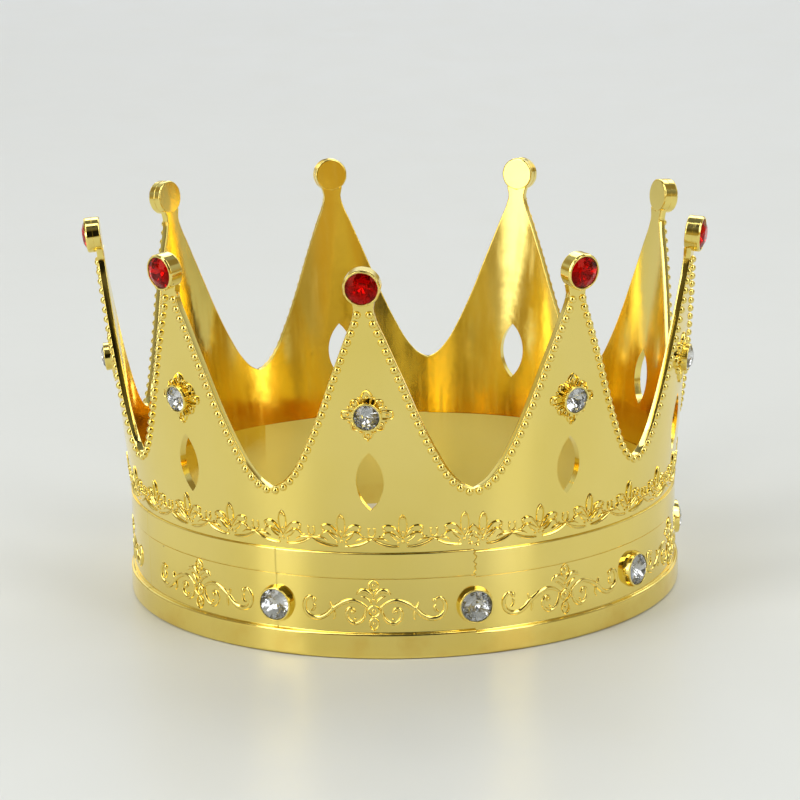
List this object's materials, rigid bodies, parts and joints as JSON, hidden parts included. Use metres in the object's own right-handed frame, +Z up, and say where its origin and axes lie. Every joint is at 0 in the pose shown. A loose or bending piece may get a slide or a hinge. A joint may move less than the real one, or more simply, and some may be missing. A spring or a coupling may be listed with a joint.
{
  "type": "crown",
  "caption": "Small round crown, a one-piece gold plated ring with pointed peaks and slots, set with red stones at the tips and clear stones on the points and band.",
  "frame": {"origin": "centre of the bottom rim, on the crown's axis and in the plane that it stands on", "axes": "+Z is up along the crown's axis; -Y is the front, where point 1 is; +X is to the right when the front is seen from -Y"},
  "size_m": [0.1044, 0.103, 0.0645],
  "materials": {
    "gold_plated_plastic": "injection-moulded plastic, electroplated bright yellow gold",
    "red_stone": "faceted, polished, deep red, foil back",
    "clear_stone": "faceted, polished, colourless, silver foil back",
    "clear_adhesive": "cured clear glue, mostly hidden"
  },
  "bodies": {
    "root": {"crown_body": "gold_plated_plastic", "tip_stone_1": "red_stone", "tip_stone_glue_1": "clear_adhesive", "tip_stone_2": "red_stone", "tip_stone_glue_2": "clear_adhesive", "tip_stone_3": "red_stone", "tip_stone_glue_3": "clear_adhesive", "tip_stone_4": "red_stone", "tip_stone_glue_4": "clear_adhesive", "tip_stone_5": "red_stone", "tip_stone_glue_5": "clear_adhesive", "tip_stone_6": "red_stone", "tip_stone_glue_6": "clear_adhesive", "tip_stone_7": "red_stone", "tip_stone_glue_7": "clear_adhesive", "tip_stone_8": "red_stone", "tip_stone_glue_8": "clear_adhesive", "tip_stone_9": "red_stone", "tip_stone_glue_9": "clear_adhesive", "point_stone_1": "clear_stone", "point_stone_glue_1": "clear_adhesive", "point_stone_2": "clear_stone", "point_stone_glue_2": "clear_adhesive", "point_stone_3": "clear_stone", "point_stone_glue_3": "clear_adhesive", "point_stone_4": "clear_stone", "point_stone_glue_4": "clear_adhesive", "point_stone_5": "clear_stone", "point_stone_glue_5": "clear_adhesive", "point_stone_6": "clear_stone", "point_stone_glue_6": "clear_adhesive", "point_stone_7": "clear_stone", "point_stone_glue_7": "clear_adhesive", "point_stone_8": "clear_stone", "point_stone_glue_8": "clear_adhesive", "point_stone_9": "clear_stone", "point_stone_glue_9": "clear_adhesive", "band_stone_1": "clear_stone", "band_stone_glue_1": "clear_adhesive", "band_stone_2": "clear_stone", "band_stone_glue_2": "clear_adhesive", "band_stone_3": "clear_stone", "band_stone_glue_3": "clear_adhesive", "band_stone_4": "clear_stone", "band_stone_glue_4": "clear_adhesive"}
  },
  "joints": []
}
